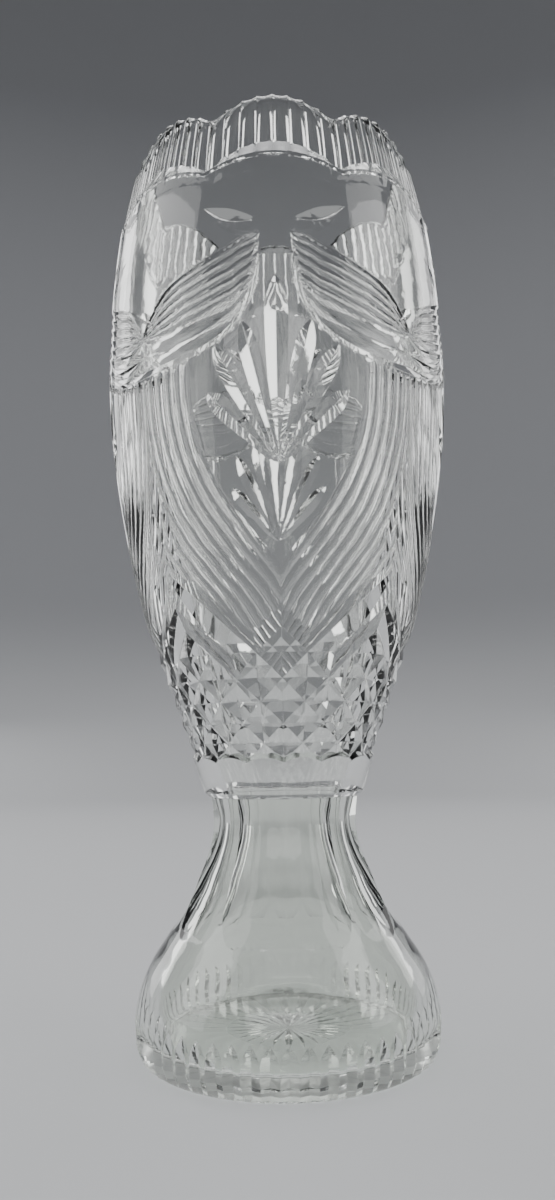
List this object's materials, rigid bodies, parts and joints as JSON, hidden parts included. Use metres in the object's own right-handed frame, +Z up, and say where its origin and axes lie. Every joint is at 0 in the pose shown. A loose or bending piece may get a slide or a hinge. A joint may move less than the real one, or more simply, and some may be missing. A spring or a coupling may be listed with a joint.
{
  "type": "footed vase",
  "caption": "Tall footed vase in cut crystal: a barrel bowl with scalloped fluted rim, drapes, palms, ogives and diamonds, on a hollow fluted bell foot.",
  "frame": {"origin": "centre of the flat ring that the foot rests on, on the vase's axis", "axes": "+Z up along the vase's axis; -Y is the front, through the middle of a palm and a gather of the drape; +X is to the right seen from the front"},
  "size_m": [0.1394, 0.1394, 0.355],
  "materials": {
    "bowl_crystal": "cut and polished clear lead crystal",
    "foot_crystal": "cut and polished clear lead crystal, faint green-yellow where it is thick"
  },
  "bodies": {
    "root": {"bowl": "bowl_crystal", "foot": "foot_crystal"}
  },
  "joints": []
}
